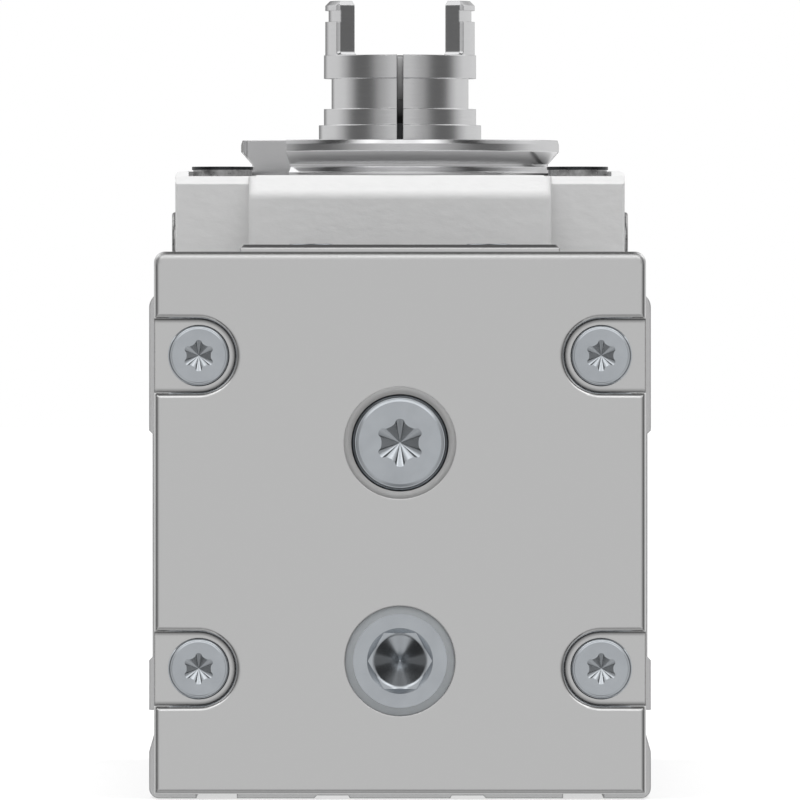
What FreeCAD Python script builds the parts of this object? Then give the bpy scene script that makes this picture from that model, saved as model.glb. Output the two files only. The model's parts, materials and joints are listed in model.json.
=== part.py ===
"""Toothed belt linear axis with a tension end cap, a table slide and a right-angle drive head.

Lengths are in mm. X runs across the axis, Y runs from the tension end to the drive head, Z is up,
and the origin is the middle of the mounting side.
"""
import FreeCAD, Part
import math
import os
import types

import Sketcher
from FreeCAD import Placement, Rotation, Vector

doc = FreeCAD.newDocument("toothed_belt_axis")
sheet = doc.addObject("Spreadsheet::Sheet", "Sizes")

# driving sizes, one row each in the sheet
table = {
    "profile_width": 45.0,      # across the side lands
    "profile_height": 45.4,
    "profile_length": 202.0,
    "floor_height": 7.5,        # rail seat above the mounting side
    "lip_gap": 29.2,            # opening between the top lips
    "cavity_width": 39.0,
    "slot_centre": 16.45,       # mounting slot from the middle
    "slot_mouth": 3.63,
    "slot_inner": 6.0,
    "cap_width": 44.0,
    "cap_bottom": 0.5,
    "cap_top": 49.0,
    "cap_length": 8.0,
    "corner_pitch_x": 36.0,     # four corner screws
    "corner_low": 11.7,
    "corner_high": 39.7,
    "corner_clear": 1.6,        # radius of a corner screw's clearance hole
    "ear_radius": 3.3,
    "ear_depth": 2.4,
    "tension_bore": 4.4,        # radius and depth of the tension screw's counterbore
    "tension_depth": 4.6,
    "port_height": 12.4,
    "port_radius": 4.9,
    "port_depth": 6.1,
    "port_flats": 5.0,          # hex socket of the plug
    "belt_height": 31.9,        # middle of the belt
    "belt_pitch": 3.0,
    "belt_width": 10.0,
    "belt_land": 9.168,         # radius of the belt land on a pulley
    "belt_back": 10.4,
    "belt_tooth": 1.17,
    "pulley_teeth": 20,
    "pulley_width": 10.6,
    "pulley_radius": 9.1,
    "pulley_rim": 11.0,
    "idler_inset": 20.0,        # idler axis from the profile end
    "rail_width": 12.0,
    "rail_height": 8.0,
    "rail_length": 194.0,
    "rail_pitch": 25.0,
    "ball_line": 12.0,          # height of the runner balls
    "ball_radius": 1.0,
    "ball_groove": 1.05,
    "runner_width": 27.0,
    "runner_length": 32.0,
    "runner_height": 10.0,
    "slide_rest": -9.0,         # middle of the slide at rest
    "slide_length": 52.0,
    "table_width": 40.0,
    "table_bottom": 46.0,
    "table_edge": 49.5,
    "table_top": 50.0,
    "table_pad": 30.0,
    "table_hole_x": 20.0,
    "table_hole_y": 40.0,
    "table_hole_radius": 1.65,
    "leg_outside": 14.2,
    "leg_thickness": 3.2,
    "base_thickness": 3.2,      # carriage plate on the runner
    "strip_width": 23.6,
    "strip_bottom": 45.1,
    "strip_thickness": 0.3,
    "clamp_width": 28.7,
    "clamp_top": 49.68,
    "clamp_screw_x": 8.0,
    "shelf_bottom": 42.6,       # shelves that carry the strip ends
    "shelf_length": 11.0,
    "shelf_half": 10.0,
    "shelf_screw": 6.4,         # clamp screws from the profile end
    "head_length": 44.0,
    "head_split": 47.0,         # joint of housing and adapter
    "chamber_floor": 24.6,      # pulley chamber and belt window
    "chamber_radius": 13.0,
    "window_top": 39.2,
    "window_half": 11.6,
    "low_bearing": 16.5,        # lower and upper drive bearing: bottom, top, outer radius
    "low_bearing_top": 21.5,
    "low_bearing_radius": 8.0,
    "high_bearing": 48.0,
    "high_bearing_top": 53.0,
    "high_bearing_radius": 9.5,
    "seal_seat": 54.0,
    "seal_radius": 8.8,
    "shaft_radius": 5.0,
    "journal_radius": 4.0,
    "key_low": 27.5,
    "key_high": 36.5,
    "adapter_top": 58.15,
    "seat_face": 57.75,         # milled face that carries the flange
    "seat_half": 15.1,
    "boss_width": 29.6,
    "boss_length": 4.0,
    "boss_top": 57.6,
    "adapter_screw_x": 17.4,
    "pillar_radius": 3.3,       # spot face of an adapter screw
    "plug_line": 51.4,          # height of the side plugs
    "plug_seat": 2.9,
    "flange_seat": 56.6,
    "flange_spigot": 13.0,
    "flange_bore": 9.2,
    "flange_screw_circle": 11.5,
    "flange_top": 61.3,
    "flange_radius": 15.67,
    "flange_neck": 14.5,
    "hub_radius": 7.5,
    "hub_shoulder": 69.7,
    "hub_top": 75.05,
    "jaw_outside": 7.37,
    "jaw_inside": 5.4,
    "jaw_half_angle": 34.0,
    "slit_half": 0.3,           # half width of the clamp slit
    "yoke_low": 21.8,           # tension yoke
    "yoke_high": 42.0,
    "yoke_arm": 3.3,
    "yoke_half": 8.0,
    "axle_radius": 2.5,
}


class Size:
    """A number together with the sheet formula that gives it."""

    def __init__(self, value, formula):
        self.value = value
        self.formula = formula

    def __add__(self, other):
        other = as_size(other)
        return Size(self.value + other.value, f"({self.formula} + {other.formula})")

    def __sub__(self, other):
        other = as_size(other)
        return Size(self.value - other.value, f"({self.formula} - {other.formula})")

    def __rsub__(self, other):
        return as_size(other) - self

    def __mul__(self, factor):
        return Size(self.value * factor, f"({self.formula} * {factor!r})")

    def __truediv__(self, factor):
        return Size(self.value / factor, f"({self.formula} / {factor!r})")

    def __neg__(self):
        return Size(-self.value, f"(0 - {self.formula})")

    __radd__ = __add__
    __rmul__ = __mul__


def as_size(number):
    return number if isinstance(number, Size) else Size(float(number), repr(float(number)))


dim = types.SimpleNamespace()
for row, (name, value) in enumerate(table.items(), 1):
    sheet.set(f"A{row}", name)
    sheet.set(f"B{row}", str(value))
    sheet.setAlias(f"B{row}", name)
    setattr(dim, name, Size(value, f"Sizes.{name}"))
doc.recompute()

# places along the axis
total = dim.cap_length + dim.profile_length + dim.head_length
front = -total / 2
seat = front + dim.cap_length
head = seat + dim.profile_length
back = total / 2
idler = seat + dim.idler_inset
drive = head + dim.head_length / 2
rest = dim.slide_rest
corner = dim.corner_pitch_x / 2
side = dim.cap_width / 2

parts = []


def bind(thing, prop, amount):
    thing.setExpression(prop, as_size(amount).formula)


def place(thing, x=0, y=0, z=0, turn=None):
    spot = [as_size(amount) for amount in (x, y, z)]
    thing.Placement = Placement(Vector(*[amount.value for amount in spot]), turn or Rotation())
    for axis, amount in zip("xyz", spot):
        bind(thing, f"Placement.Base.{axis}", amount)


def keep(label, thing):
    thing.Label = label
    parts.append((label, thing))
    return thing


def new_body(name, x=0, y=0, z=0):
    body = doc.addObject("PartDesign::Body", name)
    place(body, x, y, z)
    return body


def origin(body, role):
    return next(item for item in body.Origin.OriginFeatures if item.Role == role)


class Circle:
    """A circle in a sketch."""

    def __init__(self, across, up, radius):
        self.across, self.up, self.radius = as_size(across), as_size(up), as_size(radius)


def box(low_a, high_a, low_b, high_b):
    return [(low_a, low_b), (high_a, low_b), (high_a, high_b), (low_a, high_b)]


def star(radius, inner=0.72, lobes=6):
    """The outline of a six-lobe recess, with one lobe straight up."""
    points = []
    for step in range(2 * lobes):
        reach = radius if step % 2 == 0 else radius * inner
        angle = math.pi / 2 + math.pi * step / lobes
        points.append((reach * math.cos(angle), reach * math.sin(angle)))
    return points


def hexagon(flats):
    reach = flats / math.sqrt(3)
    return [(reach * math.cos(math.pi * k / 3), reach * math.sin(math.pi * k / 3)) for k in range(6)]


def sketch_on(body, plane, offset, loops):
    """A sketch whose every corner is held at a formula of the sheet."""
    sketch = body.newObject("Sketcher::SketchObject", "Sketch")
    sketch.AttachmentSupport = (origin(body, plane + "_Plane"), [""])
    sketch.MapMode = "FlatFace"
    bind(sketch, "AttachmentOffset.Base.z", offset)
    for loop in loops:
        first = sketch.GeometryCount
        held = []
        if isinstance(loop, Circle):
            middle = Vector(loop.across.value, loop.up.value, 0)
            sketch.addGeometry(Part.Circle(middle, Vector(0, 0, 1), loop.radius.value), False)
            held.append((Sketcher.Constraint("Radius", first, loop.radius.value), loop.radius))
            spots = [(first, 3, loop.across, loop.up)]
        else:
            points = [(as_size(across), as_size(up)) for across, up in loop]
            count = len(points)
            corners = [Vector(across.value, up.value, 0) for across, up in points]
            for k in range(count):
                sketch.addGeometry(Part.LineSegment(corners[k], corners[(k + 1) % count]), False)
            joins = [Sketcher.Constraint("Coincident", first + k, 2, first + (k + 1) % count, 1)
                     for k in range(count)]
            sketch.addConstraint(joins)
            spots = [(first + k, 1, across, up) for k, (across, up) in enumerate(points)]
        for edge, end, across, up in spots:
            held.append((Sketcher.Constraint("DistanceX", -1, 1, edge, end, across.value), across))
            held.append((Sketcher.Constraint("DistanceY", -1, 1, edge, end, up.value), up))
        numbers = sketch.addConstraint([constraint for constraint, amount in held])
        for number, (constraint, amount) in zip(numbers, held):
            if "Sizes" in amount.formula:
                sketch.setExpression(f"Constraints[{number}]", amount.formula)
    return sketch


def pad(body, plane, low, high, *loops):
    """Material between two places on the axis square to the plane."""
    low, high = as_size(low), as_size(high)
    sketch = sketch_on(body, plane, -high if plane == "XZ" else low, loops)
    feature = body.newObject("PartDesign::Pad", "Pad")
    feature.Profile = sketch
    bind(feature, "Length", high - low)
    return feature


def pocket(body, plane, low, high, *loops):
    """A cut between two places on the axis square to the plane."""
    low, high = as_size(low), as_size(high)
    sketch = sketch_on(body, plane, -low if plane == "XZ" else high, loops)
    feature = body.newObject("PartDesign::Pocket", "Pocket")
    feature.Profile = sketch
    bind(feature, "Length", high - low)
    return feature


def turned(body, points, kind="Revolution"):
    """A ring or shaft from an outline of radius and height."""
    sketch = sketch_on(body, "XZ", 0, [points])
    feature = body.newObject(f"PartDesign::{kind}", kind)
    feature.Profile = sketch
    feature.ReferenceAxis = (sketch, ["V_Axis"])
    feature.Angle = 360
    return feature


def mirror(body, *features):
    feature = body.newObject("PartDesign::Mirrored", "Mirrored")
    feature.Originals = list(features)
    feature.MirrorPlane = (origin(body, "YZ_Plane"), [""])
    body.Tip = feature
    return feature


def around(body, feature, count):
    pattern = body.newObject("PartDesign::PolarPattern", "PolarPattern")
    pattern.Originals = [feature]
    pattern.Axis = (origin(body, "Z_Axis"), [""])
    pattern.Angle = 360
    pattern.Occurrences = count
    body.Tip = pattern
    return pattern


def soften(body, radius, wanted, kind="Fillet"):
    """A fillet or chamfer on the edges whose middle point is wanted."""
    doc.recompute()
    base = body.Tip
    names = []
    for number, edge in enumerate(base.Shape.Edges, 1):
        middle = edge.valueAt((edge.FirstParameter + edge.LastParameter) / 2)
        if wanted(middle, edge):
            names.append(f"Edge{number}")
    feature = body.newObject(f"PartDesign::{kind}", kind)
    feature.Base = (base, names)
    bind(feature, "Radius" if kind == "Fillet" else "Size", radius)
    body.Tip = feature
    return feature


def near(a, b):
    return abs(a - b) < 0.02


def group(label, master, spots, turn=None):
    """Separate copies of one piece, kept as one sub-part."""
    links = []
    for spot in spots:
        link = doc.addObject("App::Link", f"{label}_copy")
        link.LinkedObject = master
        link.LinkTransform = False
        place(link, *spot, turn=turn)
        links.append(link)
    compound = doc.addObject("Part::Compound", label)
    compound.Links = links
    return keep(label, compound)


def gather(label, pieces):
    compound = doc.addObject("Part::Compound", label)
    compound.Links = pieces
    return keep(label, compound)


def screw(name, head_radius, head_height, shank_radius, shank_length, recess, edge=0.25):
    """A screw along Z: the head stands on zero and the shank hangs below it."""
    body = new_body(name)
    turned(body, [(0, -shank_length), (shank_radius, -shank_length), (shank_radius, 0), (head_radius, 0),
                  (head_radius, head_height - edge), (head_radius - edge, head_height), (0, head_height)])
    pocket(body, "XY", 0.4 * head_height, head_height, recess)
    return body


def ring(name, inner, outer, low, high):
    body = new_body(name)
    turned(body, [(inner, low), (outer, low), (outer, high), (inner, high)])
    return body


down_x = Rotation(Vector(0, 1, 0), -90)     # head toward minus X
up_x = Rotation(Vector(0, 1, 0), 90)        # head toward plus X
to_front = Rotation(Vector(1, 0, 0), 90)    # head toward minus Y
to_back = Rotation(Vector(1, 0, 0), -90)    # head toward plus Y
upside_down = Rotation(Vector(1, 0, 0), 180)

# extruded profile: half section, mirrored
width = dim.profile_width / 2
wall = dim.cavity_width / 2
lip = dim.lip_gap / 2
mouth_in = dim.slot_centre - dim.slot_mouth / 2
mouth_out = dim.slot_centre + dim.slot_mouth / 2
slot_in = dim.slot_centre - dim.slot_inner / 2
slot_out = dim.slot_centre + dim.slot_inner / 2
block = lip + 0.7
rail_front = seat + 5
rail_spots = [rail_front + 9.5 + dim.rail_pitch * k for k in range(8)]
profile = new_body("profile_body")
half = [
    (0, 0), (4.5, 0), (4.65, 0.25), (7.46, 0.25), (7.7, 0),
    (mouth_in, 0), (mouth_in, 1.5), (slot_in, 1.5), (slot_in, 4.0), (slot_out, 4.0), (slot_out, 1.5),
    (mouth_out, 1.5), (mouth_out, 0), (width, 0),
    (width, 4.2), (width - 0.5, 5.96), (width - 1.9, 6.5), (width - 1.9, 7.93), (width, 7.93),
    (width, 12.4), (width - 0.3, 12.7), (width - 0.3, 32.7), (width, 33.0), (width, dim.profile_height),
    (lip, dim.profile_height), (lip, 42.6), (block, 42.6), (block, dim.corner_high - 2.9),
    (wall, dim.corner_high - 2.9), (wall, dim.corner_low + 2.9), (block, dim.corner_low + 2.9),
    (block, dim.floor_height), (0, dim.floor_height),
]
bar = pad(profile, "XZ", seat, head, half, Circle(corner, dim.corner_low, 1.3),
          Circle(corner, dim.corner_high, 1.3), box(3.2, 11.5, 2.0, 5.2))
mirror(profile, bar)
pocket(profile, "XY", 2.5, dim.floor_height, *[Circle(0, spot, 1.5) for spot in rail_spots])
top = dim.profile_height.value
soften(profile, 1.35, lambda p, e: near(abs(p.x), width.value) and near(p.z, top) and e.Length > 50)
soften(profile, 0.9, lambda p, e: near(abs(p.x), width.value) and near(p.z, 0) and e.Length > 50)
keep("profile_body", profile)

# guide rail with a ball groove on each side, and its screws
rail_half = dim.rail_width / 2
rail_top = dim.floor_height + dim.rail_height
ball_x = rail_half + 0.35
rail = new_body("guide_rail")
rail_back = rail_front + dim.rail_length
pad(rail, "XZ", rail_front, rail_back, box(-rail_half, rail_half, dim.floor_height, rail_top))
ball_grooves = [Circle(sign * ball_x, dim.ball_line, dim.ball_groove) for sign in (1, -1)]
pocket(rail, "XZ", rail_front, rail_back, *ball_grooves)
pocket(rail, "XY", dim.floor_height, rail_top, *[Circle(0, spot, 1.7) for spot in rail_spots])
pocket(rail, "XY", rail_top - 4, rail_top, *[Circle(0, spot, 3.0) for spot in rail_spots])
keep("guide_rail", rail)
rail_screw = screw("rail_screw", 2.75, 3.0, 1.48, 8.5, hexagon(2.5))
group("rail_screws", rail_screw, [(0, spot, rail_top - 4) for spot in rail_spots])

# end cap with open ears, tension hole, air port and strip shelf
cap = new_body("end_cap")
ears = [(sign * corner, height) for sign in (1, -1) for height in (dim.corner_low, dim.corner_high)]
pad(cap, "XZ", front, seat, box(-side, side, dim.cap_bottom, dim.cap_top))
soften(cap, 1.0, lambda p, e: near(abs(p.x), side.value) and near(p.z, dim.cap_top.value))
ear_floor = front + dim.ear_depth
pocket(cap, "XZ", front, ear_floor, *[Circle(x, z, dim.ear_radius) for x, z in ears])
pocket(cap, "XZ", front, ear_floor, *[box(corner, side, z - dim.ear_radius, z + dim.ear_radius)
                                      for z in (dim.corner_low, dim.corner_high)])
pocket(cap, "XZ", front, ear_floor, *[box(-side, -corner, z - dim.ear_radius, z + dim.ear_radius)
                                      for z in (dim.corner_low, dim.corner_high)])
soften(cap, 0.5, lambda p, e: near(p.y, front.value))
shelf = dim.shelf_half
pad(cap, "XZ", seat, seat + dim.shelf_length, box(-shelf, shelf, dim.shelf_bottom, dim.strip_bottom))
pocket(cap, "XZ", ear_floor, seat, *[Circle(x, z, dim.corner_clear) for x, z in ears])
tension_seat = front + dim.tension_depth
pocket(cap, "XZ", front, tension_seat, Circle(0, dim.belt_height, dim.tension_bore))
pocket(cap, "XZ", tension_seat, seat, Circle(0, dim.belt_height, 2.8))
port_floor = front + dim.port_depth
pocket(cap, "XZ", front, port_floor, Circle(0, dim.port_height, dim.port_radius + 0.02))
pocket(cap, "XZ", port_floor, seat, Circle(0, dim.port_height, 2.5))
shelf_front = seat + dim.shelf_screw
clamp_x = dim.clamp_screw_x
pocket(cap, "XY", dim.shelf_bottom, dim.strip_bottom,
       *[Circle(x, shelf_front, 1.02) for x in (clamp_x, -clamp_x)])
soften(cap, 0.6, lambda p, e: near(p.y, front.value) and near(e.BoundBox.Center.z, dim.belt_height.value)
       and near(e.BoundBox.XLength, 2 * dim.tension_bore.value), "Chamfer")
keep("end_cap", cap)
cap_screw = screw("cap_screw", 2.75, 2.0, 1.28, 11.6, star(1.4))
group("end_cap_screws", cap_screw, [(x, ear_floor, z) for x, z in ears], to_front)

plug = new_body("air_port_plug", 0, front + 6.0, dim.port_height)
plug.Placement.Rotation = to_front
plug_top = 5.95
plug_edge = 0.75
plug_radius = dim.port_radius
turned(plug, [(0, 0), (plug_radius, 0), (plug_radius, plug_top - plug_edge),
              (plug_radius - plug_edge, plug_top), (0, plug_top)])
pocket(plug, "XY", 2.0, plug_top, hexagon(dim.port_flats))
soften(plug, 0.4, lambda p, e: near(p.z, plug_top) and e.Length < 3.2, "Chamfer")
keep("air_port_plug", plug)

# cover strip with a clamp plate at each end
strip_top = dim.strip_bottom + dim.strip_thickness
shelf_back = head - dim.shelf_screw
clamp_spots = [(x, y) for x in (clamp_x, -clamp_x) for y in (shelf_front, shelf_back)]
strip_half = dim.strip_width / 2
strip = new_body("cover_strip")
pad(strip, "XY", dim.strip_bottom, strip_top, box(-strip_half, strip_half, seat + 0.5, head - 0.5),
    *[Circle(x, y, 1.15) for x, y in clamp_spots])
keep("cover_strip", strip)
clamp_half = dim.clamp_width / 2
clamp_seat = dim.clamp_top - 1.0
for label, low, high, spot in (("strip_clamp_front", seat + 0.3, seat + dim.shelf_length, shelf_front),
                               ("strip_clamp_rear", head - dim.shelf_length, head - 0.3, shelf_back)):
    clamp = new_body(label)
    pad(clamp, "XY", strip_top, dim.clamp_top, box(-clamp_half, clamp_half, low, high))
    pocket(clamp, "XY", strip_top, dim.clamp_top, *[Circle(x, spot, 1.1) for x in (clamp_x, -clamp_x)])
    pocket(clamp, "XY", clamp_seat, dim.clamp_top, *[Circle(x, spot, 2.2) for x in (clamp_x, -clamp_x)])
    soften(clamp, 0.3, lambda p, e: near(p.z, dim.clamp_top.value) and e.Length > 9 and
           (near(abs(p.x), clamp_half.value) or near(p.x, 0)), "Chamfer")
    keep(label, clamp)
clamp_screw = screw("clamp_screw", 2.05, 1.27, 1.0, 5.2, star(0.9), 0.2)
group("strip_clamp_screws", clamp_screw, [(x, y, clamp_seat) for x, y in clamp_spots])

# drive housing: pulley chamber, belt window, bearing seat and strip shelf
housing = new_body("drive_housing")
pad(housing, "XY", dim.cap_bottom, dim.head_split, box(-side, side, head, back))
soften(housing, 1.0, lambda p, e: near(abs(p.x), side.value) and near(p.y, back.value))
pad(housing, "XY", dim.shelf_bottom, dim.strip_bottom, box(-shelf, shelf, head - dim.shelf_length, head))
chamber = dim.chamber_floor
window = dim.window_half
pocket(housing, "XY", chamber, dim.head_split, Circle(0, drive, dim.chamber_radius))
pocket(housing, "XY", dim.low_bearing, chamber, Circle(0, drive, dim.low_bearing_radius + 0.02))
pocket(housing, "XY", dim.low_bearing - 2.7, dim.low_bearing, Circle(0, drive, 7.2))
pocket(housing, "XZ", head, drive, box(-window, window, chamber, dim.window_top))
screw_seat = head + 15
pocket(housing, "XZ", head, screw_seat, *[Circle(x, z, dim.corner_clear) for x, z in ears])
pocket(housing, "XZ", screw_seat, back, *[Circle(x, z, 3.2) for x, z in ears])
pillar_front = head + 8
pillar_back = back - 5
pillars = [(x, y) for x in (dim.adapter_screw_x, -dim.adapter_screw_x) for y in (pillar_front, pillar_back)]
pocket(housing, "XY", 43.5, dim.head_split, *[Circle(x, y, 1.52) for x, y in pillars])
pocket(housing, "XY", dim.shelf_bottom, dim.strip_bottom,
       *[Circle(x, shelf_back, 1.02) for x in (clamp_x, -clamp_x)])
keep("drive_housing", housing)
housing_screw = screw("housing_screw", 2.75, 2.0, 1.28, 23.0, star(1.4))
group("drive_housing_screws", housing_screw, [(x, screw_seat, z) for x, z in ears], to_back)

# motor adapter casting: shoulders, front boss, bearing and seal seats
adapter = new_body("motor_adapter")
step = head + dim.boss_length
boss = dim.boss_width / 2
edge_top = dim.adapter_top
shoulder = [(step, dim.head_split), (back, dim.head_split), (back, edge_top), (step + 1.8, edge_top),
            (step + 0.8, edge_top - 0.49), (step, edge_top - 1.28)]
pad(adapter, "YZ", -side, side, shoulder)
soften(adapter, 1.0, lambda p, e: near(abs(p.x), side.value) and near(p.y, back.value))
soften(adapter, 0.25, lambda p, e: near(abs(p.x), side.value) and near(p.y, step.value) and e.Length > 5)
soften(adapter, 0.5, lambda p, e: near(abs(p.x), side.value) and near(p.z, edge_top.value) and e.Length > 20)
pocket(adapter, "XY", dim.seat_face, edge_top, box(-dim.seat_half, dim.seat_half, step, back))
pad(adapter, "XY", dim.head_split, dim.boss_top, box(-boss, boss, head, step + 3))
soften(adapter, 1.72, lambda p, e: near(p.y, head.value) and near(p.z, dim.boss_top.value), "Chamfer")
soften(adapter, 1.2, lambda p, e: near(p.y, head.value) and near(p.z, dim.boss_top.value - 1.72))
soften(adapter, 0.8, lambda p, e: near(abs(p.x), boss.value) and near(p.y, head.value) and e.Length > 5)
pocket(adapter, "XY", dim.head_split, dim.high_bearing_top, Circle(0, drive, dim.high_bearing_radius + 0.02))
pocket(adapter, "XY", dim.high_bearing_top, dim.seal_seat, Circle(0, drive, 8.2))
pocket(adapter, "XY", dim.seal_seat, edge_top, Circle(0, drive, dim.seal_radius + 0.02))
pocket(adapter, "XY", dim.flange_seat, edge_top, Circle(0, drive, dim.flange_spigot + 0.02))
pocket(adapter, "XY", dim.head_split, edge_top, *[Circle(x, y, 1.6) for x, y in pillars])
screw_face = edge_top - 0.5
pillar = dim.pillar_radius
pocket(adapter, "XY", screw_face, edge_top, *[Circle(x, y, pillar) for x, y in pillars])
pocket(adapter, "XY", screw_face, edge_top,
       *[box(sign * dim.adapter_screw_x - pillar, sign * dim.adapter_screw_x + pillar, step, pillar_front)
         for sign in (1, -1)])
plug_seat = side - 1.0
plug_bottom = side - 7.0
plug_line = dim.plug_line
pocket(adapter, "YZ", -side, -plug_seat, Circle(drive, plug_line, dim.plug_seat))
pocket(adapter, "YZ", plug_seat, side, Circle(drive, plug_line, dim.plug_seat))
pocket(adapter, "YZ", -plug_seat, -plug_bottom, Circle(drive, plug_line, 1.5))
pocket(adapter, "YZ", plug_bottom, plug_seat, Circle(drive, plug_line, 1.5))
flange_turns = [math.radians(angle) for angle in (45, 135, 285)]
flange_spots = [(dim.flange_screw_circle * math.cos(turn), dim.flange_screw_circle * math.sin(turn))
                for turn in flange_turns]
pocket(adapter, "XY", 51.5, dim.flange_seat, *[Circle(x, drive + y, 1.25) for x, y in flange_spots])
keep("motor_adapter", adapter)
adapter_screw = screw("adapter_screw", 3.0, 0.95, 1.48, 13.9, star(1.4), 0.15)
group("adapter_screws", adapter_screw, [(x, y, screw_face) for x, y in pillars])
side_screw = screw("side_screw", 2.75, 1.38, 1.48, 5.5, star(1.4))
right_plug = doc.addObject("App::Link", "side_plug_right")
left_plug = doc.addObject("App::Link", "side_plug_left")
for link, sign, turn in ((right_plug, 1, up_x), (left_plug, -1, down_x)):
    link.LinkedObject = side_screw
    link.LinkTransform = False
    place(link, sign * plug_seat, drive, plug_line, turn)
gather("side_plugs", [right_plug, left_plug])

# clamp flange with its locating notch
neck = dim.flange_neck
rim = dim.flange_radius
crown = dim.flange_top
flange = new_body("clamp_flange", 0, drive, 0)
flange_low = dim.flange_seat
flange_face = dim.seat_face
turned(flange, [(dim.flange_bore, flange_low), (dim.flange_spigot, flange_low),
                (dim.flange_spigot, flange_face), (neck + 0.45, flange_face),
                (neck + 0.45, flange_face + 0.35), (neck, flange_face + 0.87),
                (neck + 0.1, flange_face + 1.2), (rim, crown - 1.13), (rim, crown - 0.43),
                (rim - 0.13, crown), (dim.flange_bore, crown)])
pocket(flange, "XY", flange_face, crown,
       [(-15.05, -1.65), (-15.95, -4.45), (-12.6, -14.6), (-9.05, -5.2), (-9.6, -2.81)])
flange_screw_seat = crown - 1.6
pocket(flange, "XY", flange_low, crown, *[Circle(x, y, 1.35) for x, y in flange_spots])
pocket(flange, "XY", flange_screw_seat, crown, *[Circle(x, y, 2.1) for x, y in flange_spots])
keep("clamp_flange", flange)
flange_screw = screw("flange_screw", 2.0, 1.5, 1.23, 7.5, star(1.0), 0.2)
group("flange_screws", flange_screw, [(x, drive + y, flange_screw_seat) for x, y in flange_spots])

# drive shaft, its bearings, pulley and key
shaft = new_body("drive_shaft", 0, drive, 0)
journal = dim.journal_radius
thick = dim.shaft_radius
shaft_top = 63.0
clip_low = dim.low_bearing - 0.9
turned(shaft, [(0, clip_low - 1.1), (journal, clip_low - 1.1), (journal, clip_low), (journal - 0.3, clip_low),
               (journal - 0.3, dim.low_bearing), (journal, dim.low_bearing), (journal, dim.low_bearing_top),
               (thick, dim.low_bearing_top), (thick, 57.8), (journal, 57.8), (journal, shaft_top),
               (2.05, shaft_top), (2.05, shaft_top - 9), (0, shaft_top - 9)])
pocket(shaft, "XY", dim.key_low, dim.key_high, box(3.7, 5.2, -1.52, 1.52))
keep("drive_shaft", shaft)
key = new_body("pulley_key", 0, drive, 0)
pad(key, "XY", dim.key_low, dim.key_high, box(3.7, 6.0, -1.5, 1.5))
keep("pulley_key", key)
clip = ring("shaft_clip", journal - 0.28, 5.6, clip_low + 0.05, clip_low + 0.85)
place(clip, 0, drive, 0)
pocket(clip, "XY", clip_low + 0.05, clip_low + 0.85, box(-1.5, 1.5, -6.5, 0))
keep("shaft_clip", clip)


def race(name, y, inner, outer, low, high, ball_circle, groove):
    """One bearing ring with its ball groove."""
    body = new_body(name, 0, y, 0)
    turned(body, [(inner, low), (outer, low), (outer, high), (inner, high)])
    turned(body, Circle(ball_circle, (low + high) / 2, groove), "Groove")
    return body


def balls(radius, spots):
    made = []
    for spot in spots:
        ball = doc.addObject("Part::Sphere", "ball")
        bind(ball, "Radius", radius)
        place(ball, *spot)
        made.append(ball)
    return made


def ball_circle(y, reach, height, count):
    angles = [2 * math.pi * k / count for k in range(count)]
    return [(reach * math.cos(angle), y + reach * math.sin(angle), height) for angle in angles]


low_bearing = (dim.low_bearing, dim.low_bearing_top, 6.05, 1.06)
high_bearing = (dim.high_bearing, dim.high_bearing_top, 7.25, 1.15)
gather("drive_bearing_outer_rings",
       [race("lower_outer", drive, 6.8, dim.low_bearing_radius, *low_bearing),
        race("upper_outer", drive, 8.05, dim.high_bearing_radius, *high_bearing)])
gather("drive_bearing_inner_rings",
       [race("lower_inner", drive, journal + 0.02, 5.3, *low_bearing),
        race("upper_inner", drive, thick + 0.02, 6.45, *high_bearing)])
low_middle = (dim.low_bearing + dim.low_bearing_top) / 2
high_middle = (dim.high_bearing + dim.high_bearing_top) / 2
gather("drive_bearing_balls", balls(1.0, ball_circle(drive, 6.05, low_middle, 8))
       + balls(1.1, ball_circle(drive, 7.25, high_middle, 9)))
seal = new_body("shaft_seal", 0, drive, 0)
seal_low = dim.seal_seat
turned(seal, [(5.06, seal_low + 0.6), (5.6, seal_low), (dim.seal_radius, seal_low),
              (dim.seal_radius, seal_low + 2.6), (7.6, seal_low + 3.2), (6.0, seal_low + 3.2),
              (6.0, seal_low + 1.4), (5.06, seal_low + 1.0)])
keep("shaft_seal", seal)

half_width = dim.pulley_width / 2
tooth_low = dim.belt_height - half_width
tooth_high = dim.belt_height + half_width
gap = dim.belt_land - dim.belt_tooth - 0.12


def toothed(body, inner, hub=None):
    """The toothed rim of a pulley, one groove cut and repeated around."""
    turned(body, [(inner, tooth_low), (dim.pulley_radius, tooth_low), (dim.pulley_radius, tooth_high),
                  (inner, tooth_high)])
    if hub:
        pad(body, "XY", tooth_low - 1, tooth_high + 1, Circle(0, 0, hub), Circle(0, 0, inner))
    mouth = dim.pulley_radius + 0.1
    groove = pocket(body, "XY", tooth_low, tooth_high,
                    [(gap, -0.62), (mouth, -1.06), (mouth, 1.06), (gap, 0.62)])
    around(body, groove, table["pulley_teeth"])


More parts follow.
